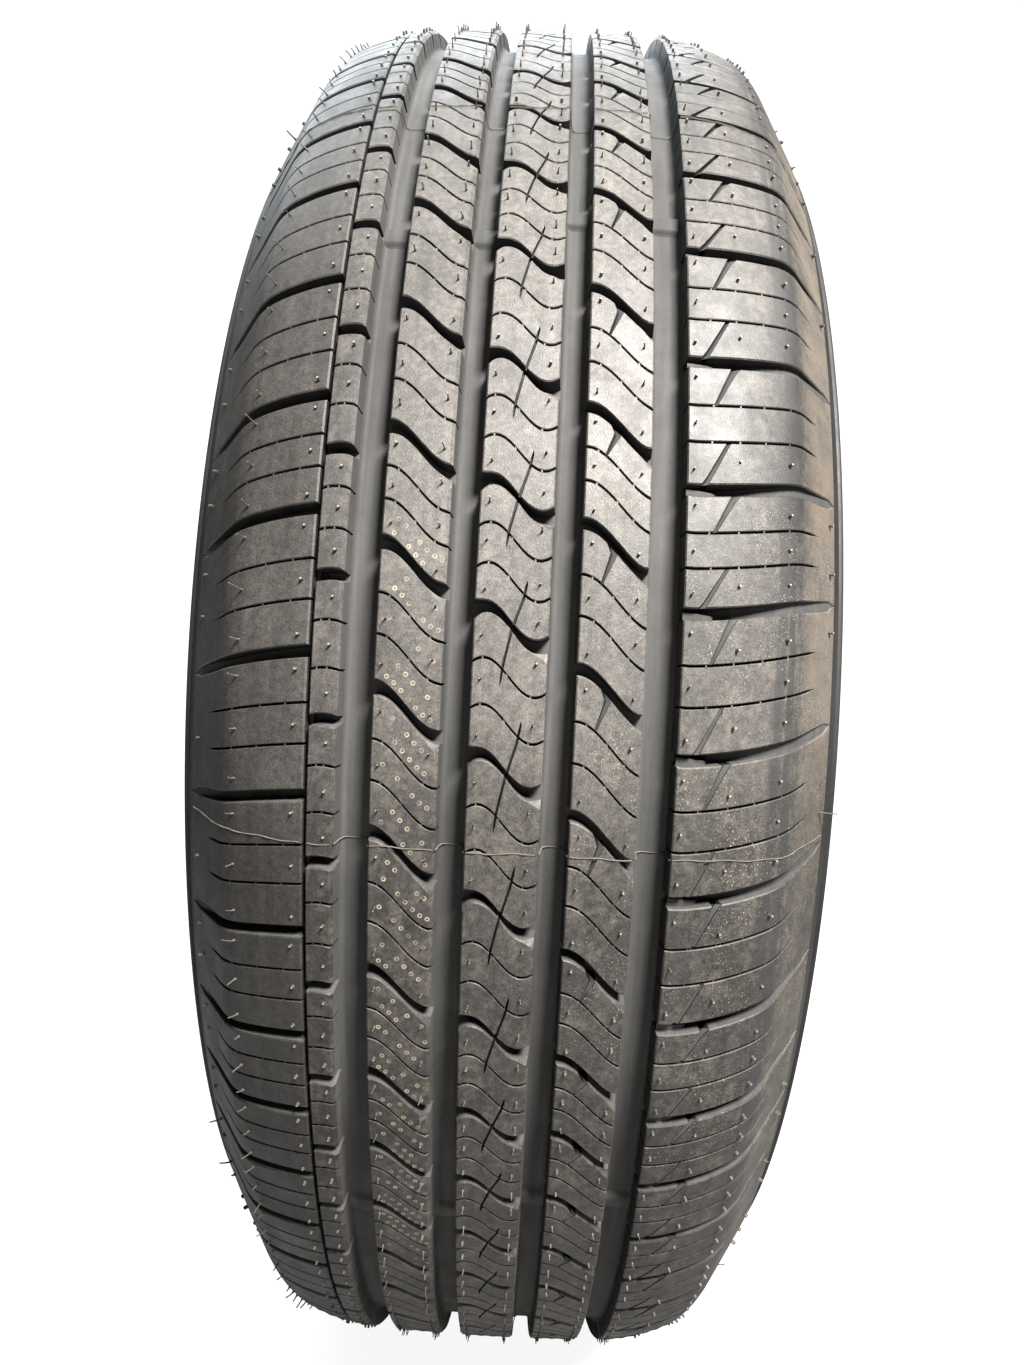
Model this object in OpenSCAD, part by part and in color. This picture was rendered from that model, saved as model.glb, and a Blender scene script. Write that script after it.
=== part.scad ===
// Car tyre, size 215/60 R16, with an asymmetric all-season tread.
// Millimetres. The tyre spins about +Y and stands upright along +Z.
// The tread is seen from +X, and +Y is then to the right.

/* [Size] */
// Outer diameter over the crown
overall_diameter = 664; // [640:1:690]
// Width over the two sidewalls at their widest
section_width = 219; // [209:1:231]
// Radius, from the hub axis, at which the sidewalls are widest
widest_radius = 254.5; // [250:0.5:259]
// Diameter of the rim that the beads seat on
rim_diameter = 405.6; // [400:0.1:409]
// Distance between the two rim flanges
rim_width = 165; // [158:1:171]

/* [Carcass] */
// Rubber and belts under the crown, from tread face to liner
crown_thickness = 15.5; // [12:0.5:19]
// Wall at the widest part of the sidewall
sidewall_thickness = 7.5; // [6:0.5:10]
// Width of the bead, from flange to toe
bead_width = 18; // [15:0.5:21]
// Height of the bead's inner face
bead_height = 13; // [10:0.5:16]
// Rounding of the bead's heel
heel_radius = 5; // [3:0.5:7]
// Chamfer on the bead's toe
toe_chamfer = 1.5; // [0.5:0.5:3]
// Radius of the hollow that takes the rim flange
flange_radius = 10; // [8:0.5:12]
// How far the rim guard stands out of the lower sidewall
rim_guard_height = 2.5; // [1:0.5:4]
// Radius of the two round beads that run along each sidewall
sidewall_bead_radius = 1.2; // [0.6:0.1:2]

/* [Tread rows] */
// Radius of the crown across the tread
crown_radius = 980; // [800:10:1400]
// Width of the centre rib
centre_rib_width = 20.6; // [18:0.1:23]
// Width of the two grooves beside the centre rib
inner_groove_width = 8.2; // [6:0.1:10]
// Width of the two intermediate ribs
side_rib_width = 18.6; // [16:0.1:20]
// Width of the two outer grooves
outer_groove_width = 9.9; // [8:0.1:12]
// Width of the narrow rib inside the left shoulder
narrow_rib_width = 7.9; // [6:0.1:9]
// Width of the fine groove beside the left shoulder
fine_groove_width = 1.1; // [0.9:0.1:2]
// Depth of the four main grooves
groove_depth = 7.8; // [6.5:0.1:8.5]
// Depth of the fine groove
fine_groove_depth = 4; // [2:0.1:6]
// Slope of the groove walls, in degrees
wall_slope = 5; // [2:1:9]
// Chamfer on the right edges of the left shoulder and of the two rows beside it
edge_chamfer = 1; // [0.4:0.1:1.6]

/* [Tread pattern] */
// Angle of the first pitch above the level of the hub
first_pitch_angle = 39.8; // [0:0.1:90]
// Depth of the cross grooves
cross_depth = 6; // [4:0.1:6.4]
// Width of the cross grooves in the three ribs, measured round the tyre
cross_width = 3.5; // [2.6:0.1:4.4]
// How much wider a cross groove is where it opens into a main groove
end_flare = 2; // [0:0.1:3]
// Width of the shoulder grooves
shoulder_groove_width = 3.5; // [2.5:0.1:4.5]
// Width of the slots in the narrow rib
slot_width = 2.1; // [1.5:0.1:3]
// Drop of the wave across each intermediate rib
side_wave = 14; // [9:0.5:18]
// Drop of the wave across the centre rib
centre_wave = 10.6; // [6:0.2:14]
// Depth of the tapered notches
notch_depth = 2.5; // [1:0.1:4]
// Height of the wear bars in the main grooves
wear_bar_height = 1.6; // [1:0.1:2.5]
// Length of the wear bars round the tyre
wear_bar_length = 6; // [4:0.5:10]
// Width of the slash through each wide groove of the centre rib
slash_width = 0.6; // [0.4:0.1:1]
// Depth of that slash
slash_depth = 1.5; // [0.5:0.1:3]
// Length of the tie bars at the inner ends of the right shoulder grooves
tie_bar_length = 9.4; // [6:0.2:12]
// Depth of the tie bars below the tread face
tie_bar_depth = 2.5; // [1.5:0.1:4]

/* [Hidden] */
tyre_colour = [0.13, 0.13, 0.13];
round_steps = 180;
wall_steps = 5;
shoulder_steps = 2;
wave_steps = 4;
clear = 3;

// One quarter of the pitch sequence, as degrees of the tyre's turn
pitch_quarter = [6, 6, 7, 7, 6, 7, 7, 7, 6, 5, 5, 5, 5, 6, 5];
pitches = [for (quarter = [0:3]) each pitch_quarter];
pitch_count = len(pitches);
pitch_list = [0:pitch_count - 1];
function pitch_before(i) = pitches[(i + pitch_count - 1) % pitch_count];
function sum_before(i) = i == 0 ? 0 : pitches[i - 1] + sum_before(i - 1);
pitch_angles = [for (i = pitch_list) first_pitch_angle - sum_before(i)];
wear_bar_angles = [26, 86, 146, 206, 267, 328];

// How far each row lags behind the right-hand rib: a fixed angle, and a share of the pitch
left_shoulder_lag = [-0.3, 0];
narrow_rib_lag = [0.45, 0.35];
left_rib_lag = [2.1, -0.12];
centre_rib_lag = [2.45, 0.25];
right_rib_lag = [0, 0];
right_shoulder_lag = [3.4, 0.11];
function row_angle(i, lag) = pitch_angles[i] - lag[0] - lag[1] * pitches[i];

tread_radius = overall_diameter / 2;
rim_radius = rim_diameter / 2;
half_width = section_width / 2;
half_rim = rim_width / 2;
mm_per_degree = tread_radius * PI / 180;

// Across the tread, from the centre line outwards
centre_edge = centre_rib_width / 2;
side_rib_inner = centre_edge + inner_groove_width;
side_rib_outer = side_rib_inner + side_rib_width;
outer_groove_end = side_rib_outer + outer_groove_width;
narrow_rib_end = outer_groove_end + narrow_rib_width;
left_shoulder_start = narrow_rib_end + fine_groove_width;

function last(list) = list[len(list) - 1];
function mirrored(points) = [for (i = [len(points) - 1:-1:0]) [-points[i][0], points[i][1]]];
function crown(w) = tread_radius - crown_radius + sqrt(crown_radius * crown_radius - w * w);

// Points of an arc, as [across, radius], whose slope turns from angle a to angle b
function arc(start, radius, a, b, steps = wall_steps) = [for (i = [0:steps])
    let (t = a + (b - a) * i / steps)
    start + radius * [sin(t) - sin(a), cos(t) - cos(a)]];
function tail(points) = [for (i = [1:len(points) - 1]) points[i]];

// Outside, from the outer groove over the shoulder to the widest part
shoulder_radius = 80;
shoulder_angle = 24;
corner_radius = 20;
corner_angle = 56;
upper_wall_angle = 60;
upper_wall_radius = 87;
shoulder_arc = arc([outer_groove_end, crown(outer_groove_end)], shoulder_radius,
    asin(outer_groove_end / crown_radius), shoulder_angle, shoulder_steps);
corner_arc = arc(last(shoulder_arc), corner_radius, shoulder_angle, corner_angle, shoulder_steps);
upper_wall_top = [half_width - upper_wall_radius * (1 - sin(upper_wall_angle)),
    widest_radius + upper_wall_radius * cos(upper_wall_angle)];
upper_wall = arc(upper_wall_top, upper_wall_radius, upper_wall_angle, 90);

// Outside, from the widest part down to the bead's heel
flange_angle = 155;
lower_wall_radius = (half_width - half_rim) / (1 - sin(flange_angle)) - flange_radius;
lower_wall = arc(last(upper_wall), lower_wall_radius, 90, flange_angle);
flange_hollow = arc(last(lower_wall), -flange_radius, flange_angle, 90);
heel = arc([half_rim, rim_radius + heel_radius], heel_radius, 90, 180);

// Inside, from the bead's toe up the sidewall to the crown
liner_angle = 5;
liner_corner_angle = 58;
liner_corner_radius = 38;
liner_bead_angle = 150;
liner_bead_radius = 27;
liner_half_width = half_width - sidewall_thickness;
liner_crown = tread_radius - crown_thickness;
liner_reach = liner_half_width - liner_corner_radius * (sin(liner_corner_angle) - sin(liner_angle));
liner_rise = liner_crown - widest_radius - liner_corner_radius * (cos(liner_angle) - cos(liner_corner_angle));
liner_wall_radius = (liner_rise - liner_reach * tan(liner_angle / 2))
    / (cos(liner_corner_angle) - (1 - sin(liner_corner_angle)) * tan(liner_angle / 2));
liner_bead = arc(
    [liner_half_width, widest_radius] + liner_bead_radius * [sin(liner_bead_angle) - 1, cos(liner_bead_angle)],
    liner_bead_radius, liner_bead_angle, 90
);
liner_wall = arc(last(liner_bead), liner_wall_radius, 90, liner_corner_angle);
liner_corner = arc(last(liner_wall), liner_corner_radius, liner_corner_angle, liner_angle);
toe = half_rim - bead_width;
bead_inside = [
    [toe + toe_chamfer, rim_radius],
    [toe, rim_radius + toe_chamfer],
    [toe, rim_radius + bead_height],
];

module whole_section() {
    half = concat(
        [[0, tread_radius]],
        shoulder_arc, tail(corner_arc), upper_wall, tail(lower_wall), tail(flange_hollow), heel,
        bead_inside, liner_bead, tail(liner_wall), tail(liner_corner),
        [[0, liner_crown]]
    );
    polygon([for (p = concat(half, mirrored(half))) [p[1], p[0]]]);
}

// A groove's section, from the left to the right edge at the tread face
module groove_section(left, right, depth) {
    lean = depth * tan(wall_slope);
    rise = clear * tan(wall_slope);
    face_radius = crown((left + right) / 2);
    polygon([
        [face_radius - depth, left + lean],
        [face_radius - depth, right - lean],
        [face_radius + clear, right + rise],
        [face_radius + clear, left - rise],
    ]);
}

module edge_chamfer_section(edge) {
    translate([crown(edge), edge])
        rotate(45)
            square(edge_chamfer * sqrt(2), center = true);
}

// The guard that keeps the rim off the kerb
module rim_guard_section() {
    root_depth = 1;
    top = lower_wall[1];
    crest = lower_wall[2];
    foot = lower_wall[3];
    polygon([
        [top[1], top[0] - root_depth],
        [top[1], top[0]],
        [crest[1] + rim_guard_height, crest[0] + rim_guard_height],
        [crest[1] - rim_guard_height, crest[0] + rim_guard_height / 2],
        [foot[1], foot[0]],
        [foot[1], foot[0] - root_depth],
    ]);
}

module sidewall_trim_section() {
    rim_guard_section();
    for (place = [upper_wall[1], upper_wall[4]])
        translate([place[1], place[0]])
            circle(sidewall_bead_radius, $fn = 24);
}

module carcass() {
    rotate([-90, 0, 0])
        rotate_extrude($fn = round_steps) {
            sidewall_trim_section();
            mirror([0, 1]) sidewall_trim_section();
            difference() {
                whole_section();
                groove_section(-outer_groove_end, -side_rib_outer, groove_depth);
                groove_section(-side_rib_inner, -centre_edge, groove_depth);
                groove_section(centre_edge, side_rib_inner, groove_depth);
                groove_section(side_rib_outer, outer_groove_end, groove_depth);
                groove_section(-left_shoulder_start, -narrow_rib_end, fine_groove_depth);
                edge_chamfer_section(-outer_groove_end);
                edge_chamfer_section(-left_shoulder_start);
                edge_chamfer_section(-side_rib_inner);
            }
        }
}

// A shape drawn as [across, round] and sunk straight in from the tread face
module sunk(angle, floor_radius) {
    rotate([0, -angle, 0])
        translate([floor_radius, 0, 0])
            rotate([90, 0, 90])
                linear_extrude(tread_radius + clear - floor_radius)
                    children();
}

// A band along a line of [across, round] points, with its widths measured round the tyre
module band(line, width, first_width, last_width) {
    top = len(line) - 1;
    widths = [for (i = [0:top]) i == 0 ? first_width : i == top ? last_width : width];
    polygon(concat(
        [for (i = [0:top]) line[i] + [0, widths[i] / 2]],
        [for (i = [top:-1:0]) line[i] - [0, widths[i] / 2]]
    ));
}

// Shares of a rib's width, from just outside its left edge to just outside its right one
rib_overrun = 0.08;
rib_steps = [for (i = [0:wave_steps]) -rib_overrun + (1 + 2 * rib_overrun) * i / wave_steps];

module wave_groove(angle, left, floor_radius, line) {
    sunk(angle, floor_radius)
        translate([left, 0])
            band(line, cross_width, cross_width + end_flare, cross_width + end_flare / 2);
}

module side_rib_groove(angle, left) {
    line = [for (u = rib_steps)
        [side_rib_width * u, -side_wave * (1 - cos(180 * min(max(u, 0), 1))) / 2]];
    wave_groove(angle, left, crown(side_rib_outer) - cross_depth, line);
}

module centre_rib_groove(angle) {
    wave_turn = 260;
    line = [for (u = rib_steps)
        [centre_rib_width * u, -centre_wave * (1 + sin(wave_turn * (u - 0.5))) / 2]];
    wave_groove(angle, -centre_edge, tread_radius - cross_depth, line);
}

// The fine slash that crosses each wide groove of the centre rib
module centre_rib_slash(angle, pitch_above, pitch_below) {
    top = 0.29 * pitch_above * mm_per_degree - centre_wave / 2;
    bottom = -0.4 * pitch_below * mm_per_degree - centre_wave / 2;
    upper_end = 3.6;
    lower_end = -2.6;
    half = slash_width / 2;
    sunk(angle, tread_radius - slash_depth)
        polygon([
            [upper_end - half, top],
            [upper_end + half, top],
            [lower_end + half, bottom],
            [lower_end - half, bottom],
        ]);
}

// The tapered notch below each wide groove of the right-hand rib
module side_rib_notch(angle, pitch) {
    mouth = [0.38, 0.56] * side_rib_width;
    mouth_drop = [0.4, 0.56] * side_wave;
    tip = [0.32 * side_rib_width, -0.43 * pitch * mm_per_degree];
    sunk(angle, crown(side_rib_outer) - notch_depth)
        translate([side_rib_inner, 0])
            polygon([[mouth[0], -mouth_drop[0]], tip, [mouth[1], -mouth_drop[1]]]);
}

module narrow_rib_slot(angle) {
    slot_overrun = 1;
    middle = (outer_groove_end + narrow_rib_end) / 2;
    sunk(angle, crown(narrow_rib_end) - cross_depth)
        translate([-middle, 0])
            square([narrow_rib_width + fine_groove_width + slot_overrun, slot_width], center = true);
}

// How far round the tyre a shoulder groove strays: per mm across, and per mm squared
right_sweep = [0.05, 0.003];
left_sweep = [-0.09, -0.0025];
runout_width = 3.2;
right_overrun = 1.5;
left_overrun = fine_groove_width / 2;
function swept(sweep, x) = sweep[0] * x + sweep[1] * x * x;
function along_shoulder(overrun, reach) = [-overrun, 0.55 * reach, reach];

// What a shoulder groove takes away: its floor drops with the shoulder and runs out on the buttress
module shoulder_floor() {
    inner = crown(left_shoulder_start) - cross_depth;
    bend = last(shoulder_arc);
    linear_extrude(half_width / 2, center = true)
        polygon([
            [inner, outer_groove_end - clear],
            [bend[1] - cross_depth, bend[0]],
            [upper_wall_top[1], upper_wall_top[0]],
            [upper_wall_top[1] + clear, upper_wall_top[0] + clear],
            [tread_radius + clear, upper_wall_top[0] + clear],
            [tread_radius + clear, outer_groove_end - clear],
        ]);
}

// The step that is left standing in the lower part of a right shoulder groove's inner end
module tie_bar() {
    top = crown(left_shoulder_start) - tie_bar_depth;
    height = cross_depth;
    upper_side = 0.4;
    translate([top - height, outer_groove_end - clear, upper_side - shoulder_groove_width])
        cube([height, clear + tie_bar_length, shoulder_groove_width]);
}

module right_shoulder_groove(angle) {
    reach = upper_wall_top[0] - outer_groove_end;
    line = [for (x = along_shoulder(right_overrun, reach))
        [outer_groove_end + x, swept(right_sweep, x)]];
    rotate([0, -angle, 0])
        difference() {
            intersection() {
                sunk(0, upper_wall_top[1] - clear)
                    band(line, shoulder_groove_width, shoulder_groove_width, runout_width);
                shoulder_floor();
            }
            tie_bar();
        }
}

module left_shoulder_groove(angle) {
    reach = upper_wall_top[0] - left_shoulder_start;
    line = mirrored([for (x = along_shoulder(left_overrun, reach))
        [left_shoulder_start + x, swept(left_sweep, x)]]);
    rotate([0, -angle, 0])
        intersection() {
            sunk(0, upper_wall_top[1] - clear)
                band(line, shoulder_groove_width, runout_width, shoulder_groove_width);
            mirror([0, 1, 0]) shoulder_floor();
        }
}

// The two tapered notches that slant away from each right shoulder groove
module right_shoulder_notches(angle, pitch_above, pitch_below) {
    rise = 0.36 * pitch_above * mm_per_degree;
    drop = -0.34 * pitch_below * mm_per_degree;
    upper_mouth = 3.4;
    upper_tip = 11;
    lower_mouth = 12.7;
    lower_tip = 7.7;
    mouth_width = 3;
    tip_width = 1;
    sunk(angle, crown(left_shoulder_start) - notch_depth)
        translate([outer_groove_end, 0]) {
            polygon([
                [upper_mouth, 0],
                [upper_mouth + mouth_width, 0],
                [upper_tip + tip_width, rise],
                [upper_tip, rise],
            ]);
            polygon([
                [lower_mouth, 0],
                [lower_mouth + mouth_width, 0],
                [lower_tip + tip_width, drop],
                [lower_tip, drop],
            ]);
        }
}

// A low bar across a main groove that shows when the tread is worn
module wear_bar(angle, left, right) {
    top = crown((left + right) / 2) - groove_depth + wear_bar_height;
    thickness = 1.5 * wear_bar_height;
    rotate([0, -angle, 0])
        translate([top - thickness, left, -wear_bar_length / 2])
            cube([thickness, right - left, wear_bar_length]);
}

module wear_bars() {
    stagger = 0.85;
    for (angle = wear_bar_angles) {
        wear_bar(angle - stagger, -outer_groove_end, -side_rib_outer);
        wear_bar(angle - stagger, -side_rib_inner, -centre_edge);
        wear_bar(angle + stagger, centre_edge, side_rib_inner);
        wear_bar(angle + stagger, side_rib_outer, outer_groove_end);
    }
}

module tyre() {
    color(tyre_colour)
        difference() {
            union() {
                carcass();
                wear_bars();
            }
            for (i = pitch_list) left_shoulder_groove(row_angle(i, left_shoulder_lag));
            for (i = pitch_list) narrow_rib_slot(row_angle(i, narrow_rib_lag));
            for (i = pitch_list) side_rib_groove(row_angle(i, left_rib_lag), -side_rib_outer);
            for (i = pitch_list) centre_rib_groove(row_angle(i, centre_rib_lag));
            for (i = pitch_list)
                centre_rib_slash(row_angle(i, centre_rib_lag), pitch_before(i), pitches[i]);
            for (i = pitch_list) side_rib_groove(row_angle(i, right_rib_lag), side_rib_inner);
            for (i = pitch_list) side_rib_notch(row_angle(i, right_rib_lag), pitches[i]);
            for (i = pitch_list) right_shoulder_groove(row_angle(i, right_shoulder_lag));
            for (i = pitch_list)
                right_shoulder_notches(row_angle(i, right_shoulder_lag), pitch_before(i), pitches[i]);
        }
}

tyre();
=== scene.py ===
"""The looks of the car tyre: tread blocks and sipes, moulding vents, flash lines and rubber."""

import math
import random
from collections import namedtuple

import bmesh
import bpy
import numpy as np
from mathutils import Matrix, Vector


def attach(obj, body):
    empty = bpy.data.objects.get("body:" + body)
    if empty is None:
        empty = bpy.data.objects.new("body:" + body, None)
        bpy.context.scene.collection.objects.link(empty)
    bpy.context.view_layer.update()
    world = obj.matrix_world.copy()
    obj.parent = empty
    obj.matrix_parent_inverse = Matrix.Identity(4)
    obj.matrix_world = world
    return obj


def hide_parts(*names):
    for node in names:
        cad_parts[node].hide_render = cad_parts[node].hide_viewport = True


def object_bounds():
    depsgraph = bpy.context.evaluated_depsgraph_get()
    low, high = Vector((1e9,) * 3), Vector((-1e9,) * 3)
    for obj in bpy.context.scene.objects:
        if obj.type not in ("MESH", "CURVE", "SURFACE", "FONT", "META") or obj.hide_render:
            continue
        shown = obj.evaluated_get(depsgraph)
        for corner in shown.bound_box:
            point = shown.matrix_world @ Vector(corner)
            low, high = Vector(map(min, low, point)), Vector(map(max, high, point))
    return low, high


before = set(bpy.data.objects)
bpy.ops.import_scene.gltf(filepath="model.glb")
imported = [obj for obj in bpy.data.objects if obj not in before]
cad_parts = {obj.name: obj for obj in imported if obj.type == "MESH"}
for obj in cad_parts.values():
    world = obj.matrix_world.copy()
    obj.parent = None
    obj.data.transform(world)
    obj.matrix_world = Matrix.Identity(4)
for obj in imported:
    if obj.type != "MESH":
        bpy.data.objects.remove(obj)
cad_low, cad_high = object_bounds()

# Lengths are in millimetres and angles in degrees, until place() turns them into the row frame
MM = 0.001
TREAD_RADIUS = cad_high.z / MM
DEGREE = TREAD_RADIUS * math.pi / 180
HALF_WIDTH = 109.5
HALF_RIM = 82.5
RIM_RADIUS = 202.8
WIDEST_RADIUS = 254.5
CROWN_RADIUS = 980
CROWN_THICKNESS = 15.5
SIDEWALL_THICKNESS = 7.5

# Edges across the tread
CENTRE_EDGE = 10.3
SIDE_RIB_INNER = 18.5
SIDE_RIB_OUTER = 37.1
OUTER_GROOVE_END = 47.0
NARROW_RIB_END = 54.9
LEFT_SHOULDER_START = 56.0
SHOULDER_SPLIT = 82
RUN_OUT = 97.8
MAIN_GROOVES = ((-OUTER_GROOVE_END, -SIDE_RIB_OUTER), (-SIDE_RIB_INNER, -CENTRE_EDGE),
                (CENTRE_EDGE, SIDE_RIB_INNER), (SIDE_RIB_OUTER, OUTER_GROOVE_END))

# Depths below the tread face
GROOVE_DEPTH = 7.8
FINE_GROOVE_DEPTH = 4
CROSS_DEPTH = 6
WEAR_BAR_HEIGHT = 1.6
WALL_LEAN = math.tan(math.radians(5))

# One quarter of the pitch sequence, as degrees of the tyre's turn
PITCH_QUARTER = [6, 6, 7, 7, 6, 7, 7, 7, 6, 5, 5, 5, 5, 6, 5]
PITCHES = PITCH_QUARTER * 4
FIRST_PITCH = 39.8
PITCH_ANGLES = FIRST_PITCH - np.concatenate([[0], np.cumsum(PITCHES)])
WEAR_BAR_ANGLES = [26, 86, 146, 206, 267, 328]
FLASH_ANGLES = [35.7, 81, 126, 171, 216, 261, 306, 351.8]

chance = random.Random(21560)


# Section of the tyre

def arc(start, radius, a, b, steps=12):
    """Points of an arc, as (across, radius), whose slope turns from angle a to angle b."""
    t = np.radians(np.linspace(a, b, steps + 1))
    return start + radius * np.stack([np.sin(t) - np.sin(t[0]), np.cos(t) - np.cos(t[0])], 1)


def crown(across):
    return TREAD_RADIUS - CROWN_RADIUS + np.sqrt(CROWN_RADIUS**2 - np.square(across))


def sin_of(angle):
    return math.sin(math.radians(angle))


def cos_of(angle):
    return math.cos(math.radians(angle))


def outer_half():
    """The outer face from the centre line to the bead's heel."""
    shoulder_angle, corner_angle, wall_angle, flange_angle = 24, 56, 60, 155
    shoulder_radius, corner_radius, wall_radius, flange_radius, heel_radius = 80, 20, 87, 10, 5
    across = np.linspace(0, OUTER_GROOVE_END, 24)
    face = np.stack([across, crown(across)], 1)
    edge_angle = math.degrees(math.asin(OUTER_GROOVE_END / CROWN_RADIUS))
    shoulder = arc(face[-1], shoulder_radius, edge_angle, shoulder_angle, 24)
    corner = arc(shoulder[-1], corner_radius, shoulder_angle, corner_angle, 16)
    wall_top = np.array([HALF_WIDTH - wall_radius * (1 - sin_of(wall_angle)),
                         WIDEST_RADIUS + wall_radius * cos_of(wall_angle)])
    upper = arc(wall_top, wall_radius, wall_angle, 90, 24)
    lower_radius = (HALF_WIDTH - HALF_RIM) / (1 - sin_of(flange_angle)) - flange_radius
    lower = arc(upper[-1], lower_radius, 90, flange_angle, 24)
    hollow = arc(lower[-1], -flange_radius, flange_angle, 90, 10)
    heel = arc([HALF_RIM, RIM_RADIUS + heel_radius], heel_radius, 90, 180, 8)
    link = corner[-1] + (wall_top - corner[-1]) * np.linspace(0, 1, 8)[1:-1, None]
    return np.concatenate([face, shoulder[1:], corner[1:], link, upper, lower[1:], hollow[1:], heel])


def inner_half():
    """The inside from the bead's toe up the sidewall to the crown's liner."""
    liner_angle, corner_angle, bead_angle = 5, 58, 150
    corner_radius, bead_radius, bead_width, bead_height, toe_chamfer = 38, 27, 18, 13, 1.5
    half = HALF_WIDTH - SIDEWALL_THICKNESS
    top = TREAD_RADIUS - CROWN_THICKNESS
    reach = half - corner_radius * (sin_of(corner_angle) - sin_of(liner_angle))
    rise = top - WIDEST_RADIUS - corner_radius * (cos_of(liner_angle) - cos_of(corner_angle))
    half_turn = math.tan(math.radians(liner_angle / 2))
    wall_radius = (rise - reach * half_turn) / (cos_of(corner_angle) - (1 - sin_of(corner_angle)) * half_turn)
    toe = HALF_RIM - bead_width
    bead = [[toe + toe_chamfer, RIM_RADIUS], [toe, RIM_RADIUS + toe_chamfer], [toe, RIM_RADIUS + bead_height]]
    low_start = [half + bead_radius * (sin_of(bead_angle) - 1),
                 WIDEST_RADIUS + bead_radius * cos_of(bead_angle)]
    low = arc(low_start, bead_radius, bead_angle, 90)
    wall = arc(low[-1], wall_radius, 90, corner_angle, 16)
    corner = arc(wall[-1], corner_radius, corner_angle, liner_angle, 12)
    return np.concatenate([bead, low, wall[1:], corner[1:], [[0, top]]])


OUTER = outer_half()
RUN = np.concatenate([[0], np.cumsum(np.linalg.norm(np.diff(OUTER, axis=0), axis=1))])
WIDEST_RUN = RUN[np.argmax(OUTER[:, 0])]
FACE_COUNT = int(np.argmax(OUTER[:, 0])) + 1
SLOPE = np.unwrap(np.arctan2(-np.gradient(OUTER[:, 1], RUN), np.gradient(OUTER[:, 0], RUN)))


def run_at(across):
    """Length along the outer face, from the centre line, of a place on the tread side."""
    return np.interp(np.abs(across), OUTER[:FACE_COUNT, 0], RUN[:FACE_COUNT])


def place_on_run(run, side, angle, lift):
    """Row-frame metres of points on the outer face, by the length along it on one side."""
    slope = np.interp(run, RUN, SLOPE)
    across = side * (np.interp(run, RUN, OUTER[:, 0]) + lift * np.sin(slope))
    radius = np.interp(run, RUN, OUTER[:, 1]) + lift * np.cos(slope)
    turn = np.radians(angle)
    return np.stack([radius * np.cos(turn), across, radius * np.sin(turn)], -1) * MM


def place(across, angle, lift):
    """Row-frame metres of points given as mm across, degrees round and mm above the tread face."""
    across, angle, lift = np.broadcast_arrays(across, angle, lift)
    return place_on_run(run_at(across), np.where(across < 0, -1, 1), angle, lift)


# Meshes

class Surface:
    """Points and faces gathered piece by piece into one mesh."""

    def __init__(self):
        self.points, self.faces, self.slots, self.count = [], [], [], 0

    def add(self, points, faces, slot=0):
        points = np.asarray(points).reshape(-1, 3)
        faces = np.asarray(faces)
        self.points.append(points)
        self.faces.extend((faces + self.count).tolist())
        self.slots.append(np.broadcast_to(slot, len(faces)))
        self.count += len(points)

    def make(self, name, materials, weld=0.012):
        """The mesh as one object that rides on the tyre; points within weld mm of each other are joined."""
        sharp_angle = 35
        mesh = bpy.data.meshes.new(name)
        mesh.from_pydata(np.concatenate(self.points).tolist(), [], self.faces)
        mesh.polygons.foreach_set("material_index", np.concatenate(self.slots).astype(np.int32))
        if weld:
            worked = bmesh.new()
            worked.from_mesh(mesh)
            bmesh.ops.remove_doubles(worked, verts=worked.verts, dist=weld * MM)
            bmesh.ops.dissolve_degenerate(worked, dist=weld * MM / 4, edges=worked.edges)
            worked.to_mesh(mesh)
            worked.free()
        mesh.polygons.foreach_set("use_smooth", np.ones(len(mesh.polygons), bool))
        mesh.set_sharp_from_angle(angle=math.radians(sharp_angle))
        for material in materials:
            mesh.materials.append(material)
        piece = bpy.data.objects.new(name, mesh)
        bpy.context.scene.collection.objects.link(piece)
        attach(piece, "root")
        return piece


def grid_faces(rows, columns):
    """Quads of a grid of (rows + 1) by (columns + 1) points."""
    first = np.arange(rows)[:, None] * (columns + 1) + np.arange(columns)[None, :]
    corners = [first, first + columns + 1, first + columns + 2, first + 1]
    return np.stack(corners, -1).reshape(-1, 4)


def strip_faces(first, second):
    """Quads between two loops of point numbers of the same length."""
    return np.stack([first, np.roll(first, -1), np.roll(second, -1), second], -1)


# Tread blocks. A side says how its edge is bevelled, how far its wall leans out, how deep it goes,
# how far its slit is open, from 0 to 1, and its wall's material; bevel, depth and open are numbers
# or functions of place along the side

# The wall material is a dark copy of the rubber, painted shade in sipes, slits, slashes and notches and on
# walls turned from the key light; walls that face up to it take the floor's lighter colour
FACE, SHADED_WALL, FLOOR = 0, 1, 2
Side = namedtuple("Side", "bevel lean depth open slot", defaults=(SHADED_WALL,))
Edge = namedtuple("Edge", "mask bevel lean depth open slot")
BARELY_OPEN = 0.02


def along(value, where):
    return value(where) if callable(value) else np.full(np.shape(where), float(value))


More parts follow.
